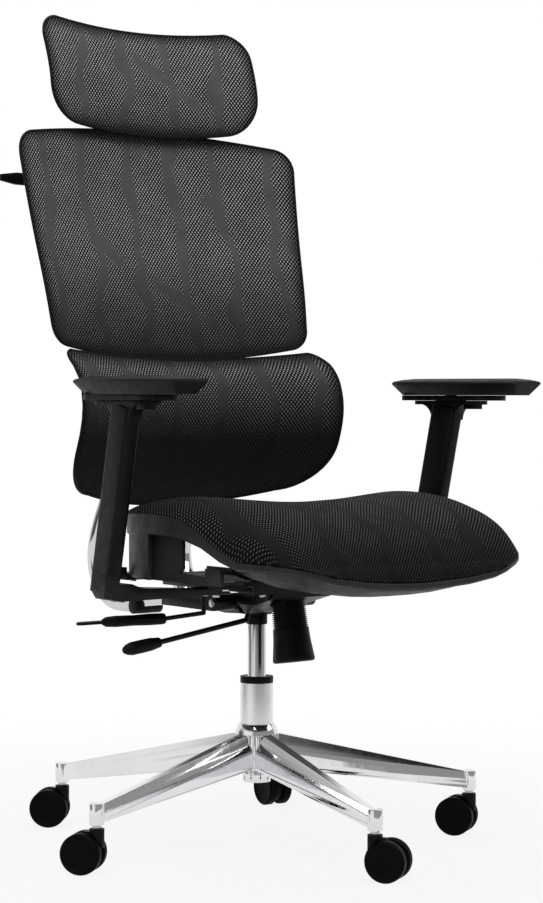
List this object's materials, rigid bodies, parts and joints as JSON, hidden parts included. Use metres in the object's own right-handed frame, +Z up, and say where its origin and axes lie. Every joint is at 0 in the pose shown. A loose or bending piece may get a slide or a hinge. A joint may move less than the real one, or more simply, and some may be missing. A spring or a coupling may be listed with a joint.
{
  "type": "swivel office chair",
  "caption": "High-back swivel office chair with mesh seat, back, lumbar pad and headrest, adjustable arm rests and a five-star caster base.",
  "frame": {"origin": "on the floor under the middle of the column", "axes": "+Z up along the column; the sitter faces -Y; the right arm of the sitter is on the -X side"},
  "size_m": [0.7434, 0.7638, 1.2877],
  "materials": {
    "chrome": "polished",
    "zinc": "satin",
    "rod": "ground",
    "black_plastic": "fine grain, satin",
    "grey_plastic": "satin",
    "pad": "soft touch",
    "tyre": "satin",
    "black_metal": "satin powder coat",
    "mesh": "open woven mesh with tone-on-tone bands"
  },
  "bodies": {
    "base": {"star_base": "chrome", "base_cap": "chrome", "caster_stems": "zinc", "column_tube": "chrome", "column_guide": "black_plastic"},
    "lift": {"lift_rod": "rod", "rod_collar": "black_plastic"},
    "mechanism": {"mech_housing": "black_metal", "mech_pins": "zinc"},
    "tension": {"tension_knob": "black_plastic", "tension_bolt": "zinc", "tension_spring": "zinc"},
    "height_control": {"height_lever": "black_metal", "height_grip": "black_plastic"},
    "seat_carrier": {"seat_plate": "black_metal", "slide_rails": "zinc", "arm_bracket_r": "black_metal", "arm_bracket_l": "black_metal", "arm_bolts": "zinc"},
    "seat": {"seat_pan": "black_plastic", "seat_frame": "grey_plastic", "seat_mesh": "mesh", "seat_screws": "zinc"},
    "depth_control": {"slide_lever": "black_metal", "slide_grip": "black_plastic"},
    "back_support": {"recline_levers": "black_metal", "back_bars": "chrome", "pivot_caps": "black_plastic", "back_spine": "black_metal", "back_bolts": "zinc", "lumbar_bracket": "black_plastic", "lumbar_pin": "zinc"},
    "lumbar": {"lumbar_frame": "black_plastic", "lumbar_mesh": "mesh"},
    "upper_back": {"back_carriage": "black_plastic", "back_frame": "black_plastic", "back_mesh": "mesh", "coat_hanger": "black_plastic"},
    "headrest_stem": {"headrest_post": "black_metal", "headrest_pin": "zinc"},
    "headrest": {"headrest_frame": "black_plastic", "headrest_mesh": "mesh"},
    "arm_r": {"arm_sleeve_r": "black_plastic"},
    "arm_trigger_r": {"arm_button_r": "black_plastic"},
    "arm_track_r": {"arm_slider_r": "black_plastic"},
    "arm_rest_r": {"arm_pad_r": "pad"},
    "arm_l": {"arm_sleeve_l": "black_plastic"},
    "arm_trigger_l": {"arm_button_l": "black_plastic"},
    "arm_track_l": {"arm_slider_l": "black_plastic"},
    "arm_rest_l": {"arm_pad_l": "pad"},
    "caster_1": {"caster_hood_1": "black_plastic"},
    "wheels_1": {"caster_wheels_1": "tyre"},
    "caster_2": {"caster_hood_2": "black_plastic"},
    "wheels_2": {"caster_wheels_2": "tyre"},
    "caster_3": {"caster_hood_3": "black_plastic"},
    "wheels_3": {"caster_wheels_3": "tyre"},
    "caster_4": {"caster_hood_4": "black_plastic"},
    "wheels_4": {"caster_wheels_4": "tyre"},
    "caster_5": {"caster_hood_5": "black_plastic"},
    "wheels_5": {"caster_wheels_5": "tyre"}
  },
  "joints": [
    {"name": "lift", "type": "slide", "parent": "base", "child": "lift", "axis": [0, 0, 1], "range_m": [-0.06, 0.02]},
    {"name": "seat_swivel", "type": "hinge", "parent": "lift", "child": "mechanism", "pos_m": [0, 0, 0.36], "axis": [0, 0, 1], "continuous": true},
    {"name": "tension_turn", "type": "hinge", "parent": "mechanism", "child": "tension", "pos_m": [0, -0.076, 0.383], "axis": [0, 0.1633, 0.9866], "range_deg": [-720, 720]},
    {"name": "height_lift", "type": "hinge", "parent": "mechanism", "child": "height_control", "pos_m": [-0.031, -0.02, 0.3585], "axis": [0, 1, 0], "range_deg": [0, 6], "stiffness_Nm_per_rad": 10, "springref_deg": -5.73},
    {"name": "seat_tilt", "type": "hinge", "parent": "mechanism", "child": "seat_carrier", "pos_m": [0, -0.096, 0.392], "axis": [-1, 0, 0], "range_deg": [0, 6]},
    {"name": "seat_depth", "type": "slide", "parent": "seat_carrier", "child": "seat", "axis": [0, -1, 0], "range_m": [0, 0.05]},
    {"name": "depth_lift", "type": "hinge", "parent": "seat_carrier", "child": "depth_control", "pos_m": [-0.107, -0.007, 0.393], "axis": [0, 1, 0], "range_deg": [0, 8], "stiffness_Nm_per_rad": 10, "springref_deg": -5.73},
    {"name": "recline", "type": "hinge", "parent": "mechanism", "child": "back_support", "pos_m": [0, -0.014, 0.374], "axis": [-1, 0, 0], "range_deg": [0, 20]},
    {"name": "lumbar_tilt", "type": "hinge", "parent": "back_support", "child": "lumbar", "pos_m": [0, 0.224, 0.648], "axis": [1, 0, 0], "range_deg": [-3, 6]},
    {"name": "back_height", "type": "slide", "parent": "back_support", "child": "upper_back", "axis": [0, 0.1908, 0.9816], "range_m": [0, 0.05]},
    {"name": "headrest_height", "type": "slide", "parent": "upper_back", "child": "headrest_stem", "axis": [0, 0.1908, 0.9816], "range_m": [0, 0.04]},
    {"name": "headrest_tilt", "type": "hinge", "parent": "headrest_stem", "child": "headrest", "pos_m": [0, 0.344, 1.192], "axis": [1, 0, 0], "range_deg": [-20, 4]},
    {"name": "arm_height_r", "type": "slide", "parent": "seat_carrier", "child": "arm_r", "axis": [-0.0135, -0.2211, 0.9751], "range_m": [0, 0.08]},
    {"name": "arm_button_r", "type": "slide", "parent": "arm_r", "child": "arm_trigger_r", "axis": [0, 0, 1], "range_m": [0, 0.002], "stiffness_N_per_m": 900, "springref_m": -0.004},
    {"name": "arm_depth_r", "type": "slide", "parent": "arm_r", "child": "arm_track_r", "axis": [-0.061, -0.9981, 0], "range_m": [-0.025, 0.025]},
    {"name": "arm_turn_r", "type": "hinge", "parent": "arm_track_r", "child": "arm_rest_r", "pos_m": [-0.30848, -0.09989, 0.6886], "axis": [0, 0, 1], "range_deg": [-15, 15]},
    {"name": "arm_height_l", "type": "slide", "parent": "seat_carrier", "child": "arm_l", "axis": [0.0135, -0.2211, 0.9751], "range_m": [0, 0.08]},
    {"name": "arm_button_l", "type": "slide", "parent": "arm_l", "child": "arm_trigger_l", "axis": [0, 0, 1], "range_m": [0, 0.002], "stiffness_N_per_m": 900, "springref_m": -0.004},
    {"name": "arm_depth_l", "type": "slide", "parent": "arm_l", "child": "arm_track_l", "axis": [0.061, -0.9981, 0], "range_m": [-0.025, 0.025]},
    {"name": "arm_turn_l", "type": "hinge", "parent": "arm_track_l", "child": "arm_rest_l", "pos_m": [0.30848, -0.09989, 0.6886], "axis": [0, 0, 1], "range_deg": [-15, 15]},
    {"name": "caster_swivel_1", "type": "hinge", "parent": "base", "child": "caster_1", "pos_m": [0.23618, 0.24458, 0.06], "axis": [0, 0, 1], "continuous": true},
    {"name": "wheel_roll_1", "type": "hinge", "parent": "caster_1", "child": "wheels_1", "pos_m": [0.23862, 0.26443, 0.03], "axis": [-0.9925, 0.1219, 0], "continuous": true},
    {"name": "caster_swivel_2", "type": "hinge", "parent": "base", "child": "caster_2", "pos_m": [-0.15962, 0.3002, 0.06], "axis": [0, 0, 1], "continuous": true},
    {"name": "wheel_roll_2", "type": "hinge", "parent": "caster_2", "child": "wheels_2", "pos_m": [-0.17448, 0.31358, 0.03], "axis": [-0.6691, -0.7431, 0], "continuous": true},
    {"name": "caster_swivel_3", "type": "hinge", "parent": "base", "child": "caster_3", "pos_m": [-0.33483, -0.05904, 0.06], "axis": [0, 0, 1], "continuous": true},
    {"name": "wheel_roll_3", "type": "hinge", "parent": "caster_3", "child": "wheels_3", "pos_m": [-0.34742, -0.0435, 0.03], "axis": [-0.7771, -0.6293, 0], "continuous": true},
    {"name": "caster_swivel_4", "type": "hinge", "parent": "base", "child": "caster_4", "pos_m": [-0.04732, -0.33669, 0.06], "axis": [0, 0, 1], "continuous": true},
    {"name": "wheel_roll_4", "type": "hinge", "parent": "caster_4", "child": "wheels_4", "pos_m": [-0.03702, -0.35383, 0.03], "axis": [0.8572, 0.515, 0], "continuous": true},
    {"name": "caster_swivel_5", "type": "hinge", "parent": "base", "child": "caster_5", "pos_m": [0.30559, -0.14905, 0.06], "axis": [0, 0, 1], "continuous": true},
    {"name": "wheel_roll_5", "type": "hinge", "parent": "caster_5", "child": "wheels_5", "pos_m": [0.29499, -0.13209, 0.03], "axis": [-0.848, -0.5299, 0], "continuous": true}
  ],
  "couplings": [
    {"joint": "seat_tilt", "follows": "recline", "ratio": 0.3}
  ]
}
